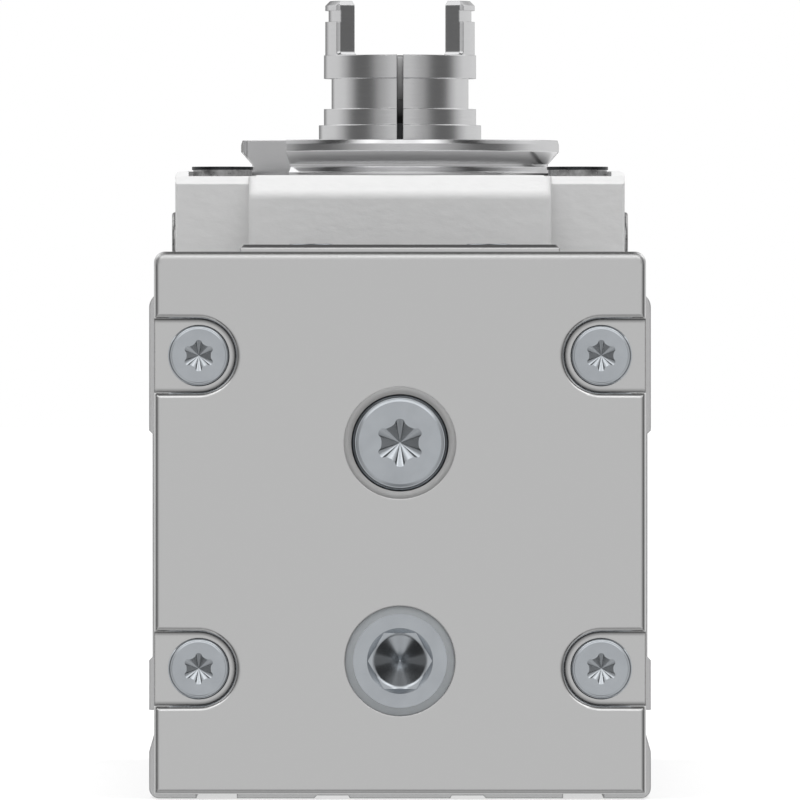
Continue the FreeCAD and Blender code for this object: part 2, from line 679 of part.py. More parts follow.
drive_pulley = new_body("drive_pulley", 0, drive, 0)
toothed(drive_pulley, thick + 0.02, 7.0)
pocket(drive_pulley, "XY", 27.4, 36.6, box(4.0, 6.02, -1.52, 1.52))
keep("drive_pulley", drive_pulley)
idler_pulley = new_body("idler_pulley", 0, idler, 0)
toothed(idler_pulley, 5.52)
keep("idler_pulley", idler_pulley)
for label, y, inner in (("drive_pulley_rims", drive, 7.02), ("idler_pulley_rims", idler, 6.6)):
    disc = ring(label + "_disc", inner, dim.pulley_rim, 0, 1)
    group(label, disc, [(0, y, tooth_low - 1), (0, y, tooth_high)])
low_spacer = ring("low_spacer", thick + 0.02, 6.4, 0, tooth_low - 1 - dim.low_bearing_top)
high_spacer = ring("high_spacer", thick + 0.02, 6.4, 0, dim.high_bearing - (tooth_high + 1))
place(low_spacer, 0, drive, dim.low_bearing_top)
place(high_spacer, 0, drive, tooth_high + 1)
gather("shaft_spacers", [low_spacer, high_spacer])

# coupling hub: clamp slit, two jaws and the centre screw
hub = new_body("coupling_hub", 0, drive, 0)
low_jaw = dim.hub_shoulder
jaw_top = dim.hub_top
hub_low = 58.4
hub_seat = 65.4
barrel = dim.hub_radius
turned(hub, [(journal + 0.02, hub_low), (8.0, hub_low), (8.0, 62.8), (barrel, 62.8), (barrel, 64.4),
             (6.75, 64.4), (6.75, 67.4), (barrel, 67.4), (barrel, low_jaw), (3.8, low_jaw), (3.8, hub_seat),
             (2.1, hub_seat), (2.1, shaft_top + 0.2), (journal + 0.02, shaft_top + 0.2)])
jaw = dim.jaw_outside
turned(hub, [(dim.jaw_inside, low_jaw - 0.5), (jaw, low_jaw - 0.5), (jaw, 73.0), (jaw - 0.33, 73.0),
             (jaw - 0.33, 74.1), (jaw, 74.1), (jaw, jaw_top - 0.46), (jaw - 0.46, jaw_top),
             (dim.jaw_inside, jaw_top)])
wedge = 12 * math.tan(math.radians(90 - table["jaw_half_angle"]))
pocket(hub, "XY", low_jaw, jaw_top, [(0, 0), (wedge, 12), (-wedge, 12)])
pocket(hub, "XY", low_jaw, jaw_top, [(0, 0), (-wedge, -12), (wedge, -12)])
pocket(hub, "XY", hub_low, low_jaw, box(-dim.slit_half, dim.slit_half, -9, 0))


def straight(edge):
    return edge.Curve.TypeId == "Part::GeomLine"


soften(hub, 0.45, lambda p, e: near(p.z, low_jaw.value) and 1.5 < e.Length < 2.2 and straight(e))
soften(hub, 0.42, lambda p, e: near(p.z, jaw_top.value) and 1.2 < e.Length < 2.2 and straight(e), "Chamfer")
soften(hub, 0.25, lambda p, e: near(math.hypot(p.x, p.y), jaw.value) and straight(e)
       and near(e.BoundBox.XLength, 0), "Chamfer")
keep("coupling_hub", hub)
hub_screw = screw("hub_screw_form", 3.5, 3.8, 2.0, 10.0, hexagon(3.0))
group("hub_screw", hub_screw, [(0, drive, hub_seat)])

# tension end: yoke, axle, idler bearings and the tension screw
yoke = new_body("tension_yoke")
web_front = seat + 2.7
web_back = idler - 11.8
arm_end = idler + 6.5
low_arm = dim.yoke_low + dim.yoke_arm
high_arm = dim.yoke_high - dim.yoke_arm
pad(yoke, "YZ", -dim.yoke_half, dim.yoke_half,
    [(web_front, dim.yoke_low), (arm_end, dim.yoke_low), (arm_end, low_arm), (web_back, low_arm),
     (web_back, high_arm), (arm_end, high_arm), (arm_end, dim.yoke_high), (web_front, dim.yoke_high)])
pad(yoke, "XY", high_arm, dim.yoke_high, box(-14.8, 14.8, web_front, web_front + 12))
pocket(yoke, "XY", dim.yoke_low, dim.yoke_high, Circle(0, idler, dim.axle_radius))
pocket(yoke, "XZ", web_front, web_back, Circle(0, dim.belt_height, 2.55))
keep("tension_yoke", yoke)
axle = new_body("idler_axle", 0, idler, 0)
axle_inner = dim.axle_radius - 0.4
axle_outer = dim.axle_radius - 0.02
turned(axle, [(0, dim.yoke_low), (axle_inner, dim.yoke_low), (axle_outer, dim.yoke_low + 0.4),
              (axle_outer, dim.yoke_high - 0.4), (axle_inner, dim.yoke_high), (0, dim.yoke_high)])
keep("idler_axle", axle)
belt_middle = dim.belt_height
belt_low = belt_middle - dim.belt_width / 2
belt_high = belt_middle + dim.belt_width / 2
spacer = ring("axle_spacer", dim.axle_radius, 3.5, 0, 1.8)
group("axle_spacers", spacer, [(0, idler, low_arm), (0, idler, belt_high)])
idler_low = (belt_low, belt_middle, 4.05, 0.84)
idler_high = (belt_middle, belt_high, 4.05, 0.84)
gather("idler_bearing_inner_rings", [race("idler_low_in", idler, dim.axle_radius, 3.5, *idler_low),
                                     race("idler_high_in", idler, dim.axle_radius, 3.5, *idler_high)])
gather("idler_bearing_outer_rings", [race("idler_low_out", idler, 4.6, 5.5, *idler_low),
                                     race("idler_high_out", idler, 4.6, 5.5, *idler_high)])
ball_rows = [(low + high) / 2 for low, high in ((belt_low, belt_middle), (belt_middle, belt_high))]
idler_spots = [spot for row in ball_rows for spot in ball_circle(idler, 4.05, row, 7)]
gather("idler_bearing_balls", balls(0.78, idler_spots))
tension = screw("tension_screw_form", 4.25, 4.0, 2.5, 11.4, star(2.2), 0.4)
group("tension_screw", tension, [(0, tension_seat, dim.belt_height)], to_front)

# runner on the rail
runner_low = rail_top - 5
runner_top = runner_low + dim.runner_height
runner_half = dim.runner_width / 2
runner_reach = dim.runner_length / 2
channel = rail_half + 0.6


def arch(half_wide, low, high):
    """The section of a block that rides over the rail."""
    roof = rail_top + 0.5
    return [(-half_wide, low), (-channel, low), (-channel, roof), (channel, roof), (channel, low),
            (half_wide, low), (half_wide, high), (-half_wide, high)]


runner = new_body("runner_block")
block_spots = [(x, rest + y) for x in (10, -10) for y in (10, -10)]
pad(runner, "XZ", rest - runner_reach, rest + runner_reach, arch(runner_half, runner_low, runner_top))
pocket(runner, "XZ", rest - runner_reach, rest + runner_reach, *ball_grooves)
pocket(runner, "XY", runner_top - 5, runner_top, *[Circle(x, y, 1.52) for x, y in block_spots])
keep("runner_block", runner)
caps = []
for low, high in ((-runner_reach - 5.5, -runner_reach), (runner_reach, runner_reach + 5.5)):
    piece = new_body("runner_cap")
    pad(piece, "XZ", rest + low, rest + high, arch(runner_half - 0.2, runner_low + 0.2, runner_top - 0.3))
    caps.append(piece)
gather("runner_end_caps", caps)
runner_spots = [(sign * ball_x, rest + 4 * k - 14, dim.ball_line) for sign in (1, -1) for k in range(8)]
gather("runner_balls", balls(dim.ball_radius, runner_spots))

# carriage base on the runner, and the table body with its two legs
base_top = runner_top + dim.base_thickness
base_half = dim.slide_length / 2 + 4
leg = dim.leg_outside
carriage = new_body("carriage_base")
leg_spots = [(x, rest + y) for x in (12.6, -12.6) for y in (23.8, -23.8)]
pad(carriage, "XY", runner_top, base_top, box(-leg, leg, rest - base_half, rest + base_half))
pocket(carriage, "XY", runner_top, base_top, *[Circle(x, y, 1.65) for x, y in block_spots])
block_seat = runner_top + 1.1
leg_seat = runner_top + 1.7
pocket(carriage, "XY", block_seat, base_top, *[Circle(x, y, 2.85) for x, y in block_spots])
pocket(carriage, "XY", runner_top, base_top, *[Circle(x, y, 1.3) for x, y in leg_spots])
pocket(carriage, "XY", runner_top, leg_seat, *[Circle(x, y, 2.1) for x, y in leg_spots])
buffer_height = runner_top + 1.6
for low, high in ((-base_half, -base_half + 4), (base_half - 4, base_half)):
    pocket(carriage, "XZ", rest + low, rest + high, *[Circle(x, buffer_height, 1.25) for x in (6, -6)])
pocket(carriage, "YZ", leg - 4, leg, Circle(rest, buffer_height, 1.25))
keep("carriage_base", carriage)
block_screw = screw("block_screw", 2.75, 2.0, 1.48, 5.9, hexagon(2.5))
group("runner_screws", block_screw, [(x, y, block_seat) for x, y in block_spots])
leg_screw = screw("leg_screw", 2.0, 1.6, 1.23, 7.0, hexagon(1.5))
group("leg_screws", leg_screw, [(x, y, leg_seat) for x, y in leg_spots], upside_down)
bumper = ring("bumper", 0, 1.23, 0, 5.2)
bumper_near = [(x, rest - base_half + 4, buffer_height) for x in (6, -6)]
bumper_far = [(x, rest + base_half + 1.2, buffer_height) for x in (6, -6)]
group("end_buffers", bumper, bumper_near + bumper_far, to_front)
magnet = ring("magnet_form", 0, 1.23, 0, 3.9)
group("sensor_magnet", magnet, [(leg - 4, rest, buffer_height)], up_x)

table_body = new_body("slide_table")
reach = dim.slide_length / 2
wing = dim.table_width / 2
rise = dim.table_pad / 2
leg_in = leg - dim.leg_thickness
section = [(0, dim.table_bottom), (leg - 2, dim.table_bottom), (leg - 2, 41.0), (leg_in, 41.0),
           (leg_in, base_top), (leg, base_top), (leg, dim.table_bottom), (wing, dim.table_bottom),
           (wing, dim.table_edge), (rise, dim.table_edge), (rise, dim.table_top), (0, dim.table_top)]
mirror(table_body, pad(table_body, "XZ", rest - reach, rest + reach, section))
pad(table_body, "YZ", dim.belt_back + 0.03, leg_in,
    box(rest - 15, rest + 15, belt_low - 0.1, belt_high + 0.1))
signs = (1, -1)
holes = [(a * dim.table_hole_x / 2, rest + b * dim.table_hole_y / 2) for a in signs for b in signs]
pocket(table_body, "XY", dim.table_bottom, dim.table_top,
       *[Circle(x, y, dim.table_hole_radius) for x, y in holes])
soften(table_body, 0.4, lambda p, e: near(p.z, dim.table_top.value) and e.Length > 25, "Chamfer")
pocket(table_body, "XY", base_top, base_top + 6, *[Circle(x, y, 1.25) for x, y in leg_spots])
grip_spots = [(rest + y, z) for y in (11, -11) for z in (belt_low - 1.2, belt_high + 1.2)]
pocket(table_body, "YZ", leg_in, leg, *[Circle(y, z, 1.02) for y, z in grip_spots])
keep("slide_table", table_body)
covers = []
for low, high in ((-reach - 4, -reach), (reach, reach + 4)):
    piece = new_body("end_cover")
    pad(piece, "XZ", rest + low, rest + high, box(-wing, wing, strip_top + 0.1, dim.table_edge - 0.2))
    soften(piece, 0.8, lambda p, e: e.Length > 30 and near(p.z, dim.table_edge.value - 0.2)
           and near(abs(p.y - rest.value), reach.value + 4))
    shoulder_in = leg - 2.2
    pocket(piece, "XZ", rest + low, rest + high, box(shoulder_in, wing, strip_top + 0.1, dim.table_bottom))
    pocket(piece, "XZ", rest + low, rest + high, box(-wing, -shoulder_in, strip_top + 0.1, dim.table_bottom))
    covers.append(piece)
gather("slide_end_covers", covers)

# belt clamp: a toothed plate that holds the plus X strand against the leg
grip = new_body("belt_clamp")
grip_low = belt_low - 3.0
grip_high = belt_high + 3.0
grip_in = 4.8
grip_face = dim.belt_land - 0.06
grip_mouth = dim.belt_land + 0.1
pad(grip, "YZ", grip_in, grip_face, box(rest - 16.4, rest + 16.4, grip_low, grip_high))
for k in range(-5, 6):
    spot = rest + dim.belt_pitch * k
    pocket(grip, "XY", belt_low - 0.3, belt_high + 0.3,
           [(gap, spot - 0.62), (grip_mouth, spot - 1.06), (grip_mouth, spot + 1.06), (gap, spot + 0.62)])
pocket(grip, "YZ", grip_in, grip_face, *[Circle(y, z, 1.1) for y, z in grip_spots])
keep("belt_clamp", grip)
grip_screw = screw("grip_screw", 1.9, 2.0, 1.0, 9.0, hexagon(1.5))
group("belt_clamp_screws", grip_screw, [(grip_in, y, z) for y, z in grip_spots], down_x)


def belt_shape():
    """The endless belt: a loop of teeth around both pulleys, with the plain back outside."""
    land, outside = dim.belt_land.value, dim.belt_back.value
    pitch, tooth = dim.belt_pitch.value, dim.belt_tooth.value
    near_end, far_end = idler.value, drive.value
    span = far_end - near_end
    turn = math.pi * (pitch * dim.pulley_teeth.value / (2 * math.pi))
    loop = 2 * (span + turn)

    def spot(along, inset):
        along %= loop
        reach = land - inset
        if along < span:
            return Vector(reach, near_end + along, 0)
        if along < span + turn:
            angle = math.pi * (along - span) / turn
            return Vector(reach * math.cos(angle), far_end + reach * math.sin(angle), 0)
        if along < 2 * span + turn:
            return Vector(-reach, far_end - (along - span - turn), 0)
        angle = math.pi + math.pi * (along - 2 * span - turn) / turn
        return Vector(reach * math.cos(angle), near_end + reach * math.sin(angle), 0)

    points = []
    for number in range(round(loop / pitch)):
        middle = number * pitch
        for shift, inset in ((-0.93, 0), (-0.55, tooth), (0.55, tooth), (0.93, 0)):
            points.append(spot(middle + shift, inset))
    inner = Part.Face(Part.makePolygon(points + points[:1]))
    right, left = Vector(outside, near_end, 0), Vector(outside, far_end, 0)
    far_left, far_right = Vector(-outside, far_end, 0), Vector(-outside, near_end, 0)
    rim_line = Part.Wire([Part.LineSegment(right, left).toShape(),
                          Part.Arc(left, Vector(0, far_end + outside, 0), far_left).toShape(),
                          Part.LineSegment(far_left, far_right).toShape(),
                          Part.Arc(far_right, Vector(0, near_end - outside, 0), right).toShape()])
    band = Part.Face(rim_line).cut(inner)
    band.translate(Vector(0, 0, belt_low.value))
    return band.Faces[0].extrude(Vector(0, 0, dim.belt_width.value))


belt = doc.addObject("Part::Feature", "toothed_belt")
belt.Shape = belt_shape()
keep("toothed_belt", belt)

doc.recompute()
for thing in doc.Objects:
    if "Invalid" in thing.State or "Error" in thing.State:
        raise SystemExit(f"{thing.Label} did not compute: {thing.State}")
os.makedirs("parts", exist_ok=True)
for label, thing in parts:
    if thing.Shape.isNull() or not thing.Shape.isValid() or not thing.Shape.Solids:
        raise SystemExit(f"{label} has no valid solid")
    thing.Shape.exportStep(f"parts/{label}.step")
print(f"{len(parts)} sub-parts written")
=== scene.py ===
import json
import math

import bmesh
import bpy
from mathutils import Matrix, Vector


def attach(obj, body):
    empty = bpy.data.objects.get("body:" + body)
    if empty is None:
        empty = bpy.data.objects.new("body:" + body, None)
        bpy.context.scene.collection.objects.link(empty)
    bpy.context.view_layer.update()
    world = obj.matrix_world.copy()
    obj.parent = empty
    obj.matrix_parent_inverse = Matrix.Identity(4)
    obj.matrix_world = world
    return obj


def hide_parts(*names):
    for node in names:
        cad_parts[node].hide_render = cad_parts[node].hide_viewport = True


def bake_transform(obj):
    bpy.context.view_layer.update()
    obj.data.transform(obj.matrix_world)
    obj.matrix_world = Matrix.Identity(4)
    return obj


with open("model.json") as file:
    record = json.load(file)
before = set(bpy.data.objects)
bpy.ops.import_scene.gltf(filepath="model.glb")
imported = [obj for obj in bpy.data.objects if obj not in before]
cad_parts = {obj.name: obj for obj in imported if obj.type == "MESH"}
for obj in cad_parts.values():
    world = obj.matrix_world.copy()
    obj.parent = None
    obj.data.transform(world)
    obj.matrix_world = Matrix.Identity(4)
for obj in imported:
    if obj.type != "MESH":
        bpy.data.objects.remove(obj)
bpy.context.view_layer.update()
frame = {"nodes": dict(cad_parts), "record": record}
nodes = frame["nodes"]
mm = 0.001
driveAxis = 105.0       # Y of the drive shaft in mm
bpy.ops.object.select_all(action="DESELECT")
print("frame loaded:", len(nodes), "nodes")


# small helpers for materials

def linear(hexText):
    channels = [int(hexText[k:k + 2], 16) / 255 for k in (1, 3, 5)]
    return tuple(c / 12.92 if c <= 0.04045 else ((c + 0.055) / 1.055) ** 2.4 for c in channels) + (1.0,)


def addNode(tree, kind, settings=None, links=None):
    made = tree.nodes.new(kind)
    for key, value in (settings or {}).items():
        if isinstance(key, int) or key in made.inputs:
            made.inputs[key].default_value = value
        else:
            setattr(made, key, value)
    for key, source in (links or {}).items():
        tree.links.new(source, made.inputs[key])
    return made


def newMaterial(name, shader):
    material = bpy.data.materials.new(name)
    material.use_nodes = True
    tree = material.node_tree
    tree.nodes.clear()
    surface = addNode(tree, "ShaderNodeBsdfPrincipled", shader)
    addNode(tree, "ShaderNodeOutputMaterial", links={"Surface": surface.outputs[0]})
    place = addNode(tree, "ShaderNodeTexCoord").outputs["Object"]
    return material, tree, surface, place


def perMm(size):
    return 1 / (size * mm)          # texture scale for a feature of that many millimetres


def layFinish(tree, surface, source, look):
    # one pattern drives the colour, the roughness and, where the look has a skin, bumps over broken edges
    colour = addNode(tree, "ShaderNodeMix",
                     {"data_type": "RGBA", 6: linear(look["dark"]), 7: linear(look["light"])}, {0: source})
    tree.links.new(colour.outputs[2], surface.inputs["Base Color"])
    low, high = look["rough"]
    sheen = addNode(tree, "ShaderNodeMapRange", {"To Min": low, "To Max": high}, {"Value": source})
    tree.links.new(sheen.outputs[0], surface.inputs["Roughness"])
    edge = None
    if "bump" in look:
        edge = addNode(tree, "ShaderNodeBevel", {"samples": 6, "Radius": look["edge"] * mm})
        skin = addNode(tree, "ShaderNodeBump", {"Distance": look["bump"] * mm},
                       {"Height": source, "Normal": edge.outputs[0]})
        tree.links.new(skin.outputs[0], surface.inputs["Normal"])
    return colour, edge


# materials, one function for each finish; sizes, bumps and edges in millimetres

def blastedPlate(name, topEdge):
    # anodised aluminium after fine bead blasting: even mid grey with a soft sheen; the edges at the top and
    # at the ears are broken by amounts of their own, and painted shade darkens the inner corners
    look = {"grain": 0.12, "detail": 2.0, "dark": "#d9d9d9", "light": "#dfdfdf", "rough": (0.1, 0.15),
            "bump": 0.002, "edge": 0.2, "topFrom": 47.8, "topFull": 48.0, "earEdge": 0.22,
            "earFrom": 11.2, "earFull": 11.8, "paintedShade": "#3c3c3c", "corner": 0.5, "fullShadeAt": 0.5,
            "noShadeAt": 0.95}
    material, tree, surface, place = newMaterial(name, {"Metallic": 1.0})
    grain = addNode(tree, "ShaderNodeTexNoise", {"Scale": perMm(look["grain"]), "Detail": look["detail"]},
                    {"Vector": place})
    clean, broken = layFinish(tree, surface, grain.outputs[0], look)
    axes = addNode(tree, "ShaderNodeSeparateXYZ", links={0: place})
    top = addNode(tree, "ShaderNodeMapRange",
                  {"From Min": look["topFrom"] * mm, "From Max": look["topFull"] * mm,
                   "To Min": look["edge"] * mm, "To Max": topEdge * mm}, {"Value": axes.outputs["Z"]})
    aside = addNode(tree, "ShaderNodeMath", {"operation": "ABSOLUTE"}, {0: axes.outputs["X"]})
    ear = addNode(tree, "ShaderNodeMapRange",
                  {"From Min": look["earFrom"] * mm, "From Max": look["earFull"] * mm,
                   "To Min": 0.0, "To Max": look["earEdge"] * mm}, {"Value": aside.outputs[0]})
    widest = addNode(tree, "ShaderNodeMath", {"operation": "MAXIMUM"},
                     {0: top.outputs[0], 1: ear.outputs[0]})
    tree.links.new(widest.outputs[0], broken.inputs["Radius"])
    # painted shade: ambient occlusion darkens the colour towards dark grey in the inner corners
    corner = addNode(tree, "ShaderNodeAmbientOcclusion",
                     {"only_local": True, "Distance": look["corner"] * mm})
    unshaded = addNode(tree, "ShaderNodeMapRange", {"From Min": look["fullShadeAt"], "From Max": look["noShadeAt"]},
                    {"Value": corner.outputs["AO"]})
    shade = addNode(tree, "ShaderNodeMix", {"data_type": "RGBA", 6: linear(look["paintedShade"])},
                    {0: unshaded.outputs[0], 7: clean.outputs[2]})
    tree.links.new(shade.outputs[2], surface.inputs["Base Color"])
    return material


def anodisedProfile():
    # clear anodised extrusion: satin grey with faint die lines along its length
    look = {"line": 0.35, "run": 60.0, "detail": 3.0, "dark": "#dadadb", "light": "#e4e4e4",
            "rough": (0.24, 0.38), "bump": 0.003, "edge": 0.2}
    material, tree, surface, place = newMaterial("anodisedProfile", {"Metallic": 1.0})
    stretch = addNode(tree, "ShaderNodeMapping", {"Scale": (1, look["line"] / look["run"], 1)},
                      {"Vector": place})
    lines = addNode(tree, "ShaderNodeTexNoise", {"Scale": perMm(look["line"]), "Detail": look["detail"]},
                    {"Vector": stretch.outputs[0]})
    layFinish(tree, surface, lines.outputs[0], look)
    return material


def castAluminium():
    # pressure casting, blasted: pale and matte with a fine sandy skin; painted shade makes it grey under
    # the flange
    look = {"sand": 0.8, "wide": 0.55, "detail": 4.0, "dark": "#d3d3d3", "light": "#dbdbdb",
            "rough": (0.5, 0.65), "bump": 0.04, "edge": 0.15, "underFlangeShade": "#7e7e7e", "shadeTo": 15.4,
            "litFrom": 17.5}
    material, tree, surface, place = newMaterial("castAluminium", {"Metallic": 0.0})
    stretch = addNode(tree, "ShaderNodeMapping", {"Scale": (look["wide"], 1, 1)}, {"Vector": place})
    sand = addNode(tree, "ShaderNodeTexNoise", {"Scale": perMm(look["sand"]), "Detail": look["detail"]},
                   {"Vector": stretch.outputs[0]})
    clean = layFinish(tree, surface, sand.outputs[0], look)[0]
    # painted shade under the flange: the colour turns dark grey near the drive axis
    flat = addNode(tree, "ShaderNodeMapping", {"Location": (0, -driveAxis * mm, 0), "Scale": (1, 1, 0)},
                   {"Vector": place})
    reach = addNode(tree, "ShaderNodeVectorMath", {"operation": "LENGTH"}, {0: flat.outputs[0]})
    outOfShade = addNode(tree, "ShaderNodeMapRange",
                    {"From Min": look["shadeTo"] * mm, "From Max": look["litFrom"] * mm},
                    {"Value": reach.outputs["Value"]})
    shade = addNode(tree, "ShaderNodeMix", {"data_type": "RGBA", 6: linear(look["underFlangeShade"])},
                    {0: outOfShade.outputs[0], 7: clean.outputs[2]})
    tree.links.new(shade.outputs[2], surface.inputs["Base Color"])
    return material


def turnedAluminium(name, rough):
    # lathe turned aluminium: bright, with fine rings round the axis that stretch its reflections
    look = {"ring": 0.12, "round": 0.05, "detail": 2.0, "dark": "#dbdbdc", "light": "#e3e3e4",
            "rough": rough, "bump": 0.001, "edge": 0.15, "stretch": 0.3}
    shader = {"Metallic": 1.0, "Anisotropic": look["stretch"]}
    material, tree, surface, place = newMaterial(name, shader)
    squeeze = addNode(tree, "ShaderNodeMapping", {"Scale": (look["round"], look["round"], 1)},
                      {"Vector": place})
    marks = addNode(tree, "ShaderNodeTexNoise", {"Scale": perMm(look["ring"]), "Detail": look["detail"]},
                    {"Vector": squeeze.outputs[0]})
    layFinish(tree, surface, marks.outputs[0], look)
    rings = addNode(tree, "ShaderNodeTangent", {"direction_type": "RADIAL", "axis": "Z"})
    tree.links.new(rings.outputs[0], surface.inputs["Tangent"])
    return material


def zincSteel():
    # zinc plated steel: cool grey with a slight blue cast, half bright, its faint rings round Y
    look = {"cloud": 2.2, "detail": 3.0, "dark": "#b9bec3", "light": "#d1d6db", "rough": (0.16, 0.24),
            "stretch": 0.2}
    shader = {"Metallic": 1.0, "Anisotropic": look["stretch"]}
    material, tree, surface, place = newMaterial("zincSteel", shader)
    cloud = addNode(tree, "ShaderNodeTexNoise", {"Scale": perMm(look["cloud"]), "Detail": look["detail"]},
                    {"Vector": place})
    layFinish(tree, surface, cloud.outputs[0], look)
    rings = addNode(tree, "ShaderNodeTangent", {"direction_type": "RADIAL", "axis": "Y"})
    tree.links.new(rings.outputs[0], surface.inputs["Tangent"])
    return material


def dullZinc():
    # the rolled thread start of a zinc plated plug: the same cool grey, but dull
    look = {"cloud": 0.6, "detail": 3.0, "dark": "#a1a5a8", "light": "#acb0b3", "rough": (0.45, 0.6)}
    material, tree, surface, place = newMaterial("dullZinc", {"Metallic": 0.3})
    cloud = addNode(tree, "ShaderNodeTexNoise", {"Scale": perMm(look["cloud"]), "Detail": look["detail"]},
                    {"Vector": place})
    layFinish(tree, surface, cloud.outputs[0], look)
    return material


def bareChamfer():
    # aluminium countersunk after the coating: bare and dull, without a clear reflection
    look = {"cloud": 0.5, "detail": 2.0, "dark": "#a0a0a0", "light": "#a7a7a7", "rough": (0.5, 0.6)}
    material, tree, surface, place = newMaterial("bareChamfer", {"Metallic": 0.0})
    cloud = addNode(tree, "ShaderNodeTexNoise", {"Scale": perMm(look["cloud"]), "Detail": look["detail"]},
                    {"Vector": place})
    layFinish(tree, surface, cloud.outputs[0], look)
    return material


def blackenedSteel():
    # oxide blackened screw steel: dark, slightly mottled, low gloss
    look = {"mottle": 0.5, "detail": 3.0, "dark": "#2c2e30", "light": "#4c4e50", "rough": (0.28, 0.45)}
    material, tree, surface, place = newMaterial("blackenedSteel", {"Metallic": 1.0})
    mottle = addNode(tree, "ShaderNodeTexNoise", {"Scale": perMm(look["mottle"]), "Detail": look["detail"]},
                     {"Vector": place})
    layFinish(tree, surface, mottle.outputs[0], look)
    return material


def speckledSteel():
    # the rolled side of a screw head: grey with dark and pale specks where the oxide has worn
    look = {"speck": 0.45, "detail": 4.0, "dark": "#707070", "light": "#d6d6d6", "rough": (0.2, 0.4),
            "bump": 0.03, "edge": 0.05}
    material, tree, surface, place = newMaterial("speckledSteel", {"Metallic": 1.0})
    speck = addNode(tree, "ShaderNodeTexNoise", {"Scale": perMm(look["speck"]), "Detail": look["detail"]},
                    {"Vector": place})
    layFinish(tree, surface, speck.outputs[0], look)
    return material


def shadedHubScrew():
    # phosphated screw in the hub's bore: painted light makes the top of its head bright, painted shade
    # makes it dark further down
    look = {"cloud": 0.8, "detail": 3.0, "dark": "#2a2a2a", "light": "#d8d8d8", "rough": (0.3, 0.45),
            "darkAt": 63.6, "lightAt": 70.0}
    material, tree, surface, place = newMaterial("shadedHubScrew", {"Metallic": 1.0})
    cloud = addNode(tree, "ShaderNodeTexNoise", {"Scale": perMm(look["cloud"]), "Detail": look["detail"]},
                    {"Vector": place})
    colour = layFinish(tree, surface, cloud.outputs[0], look)[0]
    axes = addNode(tree, "ShaderNodeSeparateXYZ", links={0: place})
    topLight = addNode(tree, "ShaderNodeMapRange",
                   {"From Min": look["darkAt"] * mm, "From Max": look["lightAt"] * mm},
                   {"Value": axes.outputs["Z"]})
    tree.links.new(topLight.outputs[0], colour.inputs[0])       # painted light and shade by height take the cloud's place in the colour
    return material


def groundSteel():
    # ground bearing steel: bright and cool with fine grinding lines; the shaft's clamped end, inside
    # the hub's slit, is painted black as painted shade
    look = {"line": 0.08, "run": 6.0, "detail": 2.0, "dark": "#cbced1", "light": "#dde0e3",
            "rough": (0.12, 0.25), "slitShade": "#3a3b3c", "slitShadeFrom": 57.5}
    material, tree, surface, place = newMaterial("groundSteel", {"Metallic": 1.0})
    stretch = addNode(tree, "ShaderNodeMapping", {"Scale": (1, look["line"] / look["run"], 1)},
                      {"Vector": place})
    lines = addNode(tree, "ShaderNodeTexNoise", {"Scale": perMm(look["line"]), "Detail": look["detail"]},
                    {"Vector": stretch.outputs[0]})
    bright = layFinish(tree, surface, lines.outputs[0], look)[0]
    axes = addNode(tree, "ShaderNodeSeparateXYZ", links={0: place})
    # painted shade: black above this height, where the shaft sits in the hub's slit
    end = addNode(tree, "ShaderNodeMath", {"operation": "GREATER_THAN", 1: look["slitShadeFrom"] * mm},
                  {0: axes.outputs["Z"]})
    shade = addNode(tree, "ShaderNodeMix", {"data_type": "RGBA", 7: linear(look["slitShade"])},
                    {0: end.outputs[0], 6: bright.outputs[2]})
    tree.links.new(shade.outputs[2], surface.inputs["Base Color"])
    return material


def stripSteel():
    # cold rolled stainless strip: smooth, brushed along its length
    look = {"line": 0.15, "run": 25.0, "detail": 3.0, "dark": "#d2d5d7", "light": "#e0e3e5",
            "rough": (0.18, 0.34), "bump": 0.002, "edge": 0.05}
    material, tree, surface, place = newMaterial("stripSteel", {"Metallic": 1.0})
    stretch = addNode(tree, "ShaderNodeMapping", {"Scale": (1, look["line"] / look["run"], 1)},
                      {"Vector": place})
    lines = addNode(tree, "ShaderNodeTexNoise", {"Scale": perMm(look["line"]), "Detail": look["detail"]},
                    {"Vector": stretch.outputs[0]})
    layFinish(tree, surface, lines.outputs[0], look)
    return material


def machinedAluminium():
    # milled aluminium: pale satin with faint tool marks
    look = {"mark": 0.4, "detail": 3.0, "dark": "#d6d7d9", "light": "#e2e3e4", "rough": (0.25, 0.4)}
    material, tree, surface, place = newMaterial("machinedAluminium", {"Metallic": 1.0})
    marks = addNode(tree, "ShaderNodeTexNoise", {"Scale": perMm(look["mark"]), "Detail": look["detail"]},
                    {"Vector": place})
    layFinish(tree, surface, marks.outputs[0], look)
    return material


def beltRubber():
    # moulded polyurethane belt: matte black with a fine moulded skin
    look = {"skin": 0.2, "detail": 3.0, "dark": "#17181a", "light": "#242628", "rough": (0.5, 0.7),
            "bump": 0.01, "edge": 0.15}
    material, tree, surface, place = newMaterial("beltRubber", {"Metallic": 0.0})
    skin = addNode(tree, "ShaderNodeTexNoise", {"Scale": perMm(look["skin"]), "Detail": look["detail"]},
                   {"Vector": place})
    layFinish(tree, surface, skin.outputs[0], look)
    return material


def sealRubber():
    # nitrile rubber: dull black
    look = {"skin": 0.3, "detail": 2.0, "dark": "#141414", "light": "#1f1f20", "rough": (0.55, 0.75)}
    material, tree, surface, place = newMaterial("sealRubber", {"Metallic": 0.0})
    skin = addNode(tree, "ShaderNodeTexNoise", {"Scale": perMm(look["skin"]), "Detail": look["detail"]},
                   {"Vector": place})
    layFinish(tree, surface, skin.outputs[0], look)
    return material


def blackPlastic():
    # moulded acetal: black with a fine spark-eroded grain
    look = {"grain": 0.18, "detail": 2.0, "dark": "#1a1b1c", "light": "#2a2b2d", "rough": (0.38, 0.55),
            "bump": 0.008, "edge": 0.2}
    material, tree, surface, place = newMaterial("blackPlastic", {"Metallic": 0.0})
    grain = addNode(tree, "ShaderNodeTexNoise", {"Scale": perMm(look["grain"]), "Detail": look["detail"]},
                    {"Vector": place})
    layFinish(tree, surface, grain.outputs[0], look)
    return material


